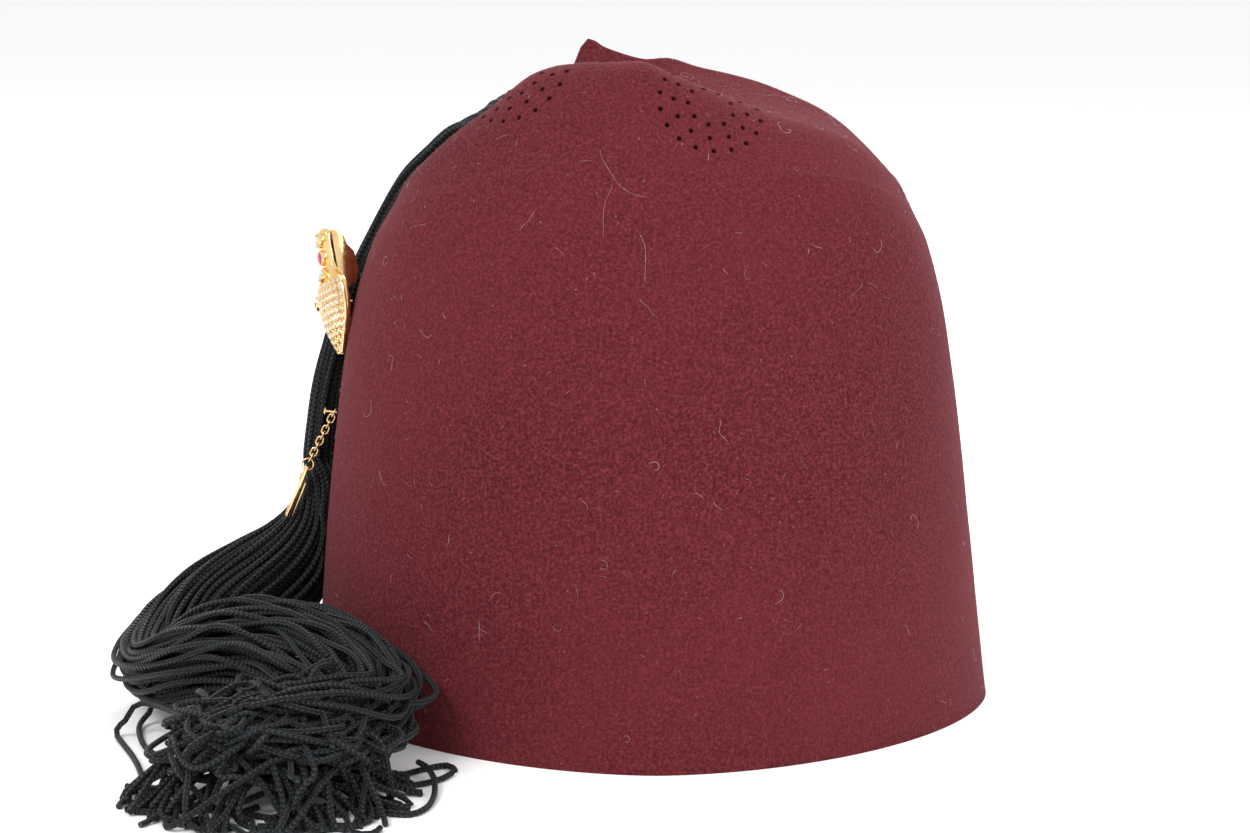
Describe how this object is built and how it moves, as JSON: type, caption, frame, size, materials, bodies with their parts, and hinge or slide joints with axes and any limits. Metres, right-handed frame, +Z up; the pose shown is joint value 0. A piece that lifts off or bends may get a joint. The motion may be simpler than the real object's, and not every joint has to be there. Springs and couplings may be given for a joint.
{
  "type": "felt fez hat",
  "caption": "Soft felt fez stood on its folded rim, with punched vents, a long black cord tassel down one side, a stone-set brooch and a fine chain.",
  "frame": {"origin": "centre of the whole object's box, on the floor it stands on", "axes": "+X to the right of the side with the near ridge, +Y away from that side, +Z up; the tassel and the brooch are at the crown's -X end"},
  "size_m": [0.2642, 0.2312, 0.1964],
  "materials": {
    "felt": "matt napped wool felt",
    "black_cord": "braided cord with a slight sheen",
    "gold": "polished, gold plated",
    "red_stone": "polished, faceted",
    "clear_stone": "polished, faceted"
  },
  "bodies": {
    "root": {"brooch_bracket": "gold", "brooch_plate": "gold", "brooch_post": "gold", "chain_link_01": "gold", "chain_link_02": "gold", "chain_link_03": "gold", "chain_link_04": "gold", "chain_link_05": "gold", "chain_link_06": "gold", "chain_link_07": "gold", "chain_link_08": "gold", "chain_link_09": "gold", "chain_stud": "gold", "clear_stone_1": "clear_stone", "clear_stone_2": "clear_stone", "drop_bar": "gold", "drop_clip": "gold", "felt_crown": "felt", "jump_ring": "gold", "red_stone_1": "red_stone", "red_stone_2": "red_stone", "tassel": "black_cord", "top_button": "black_cord"}
  },
  "joints": []
}
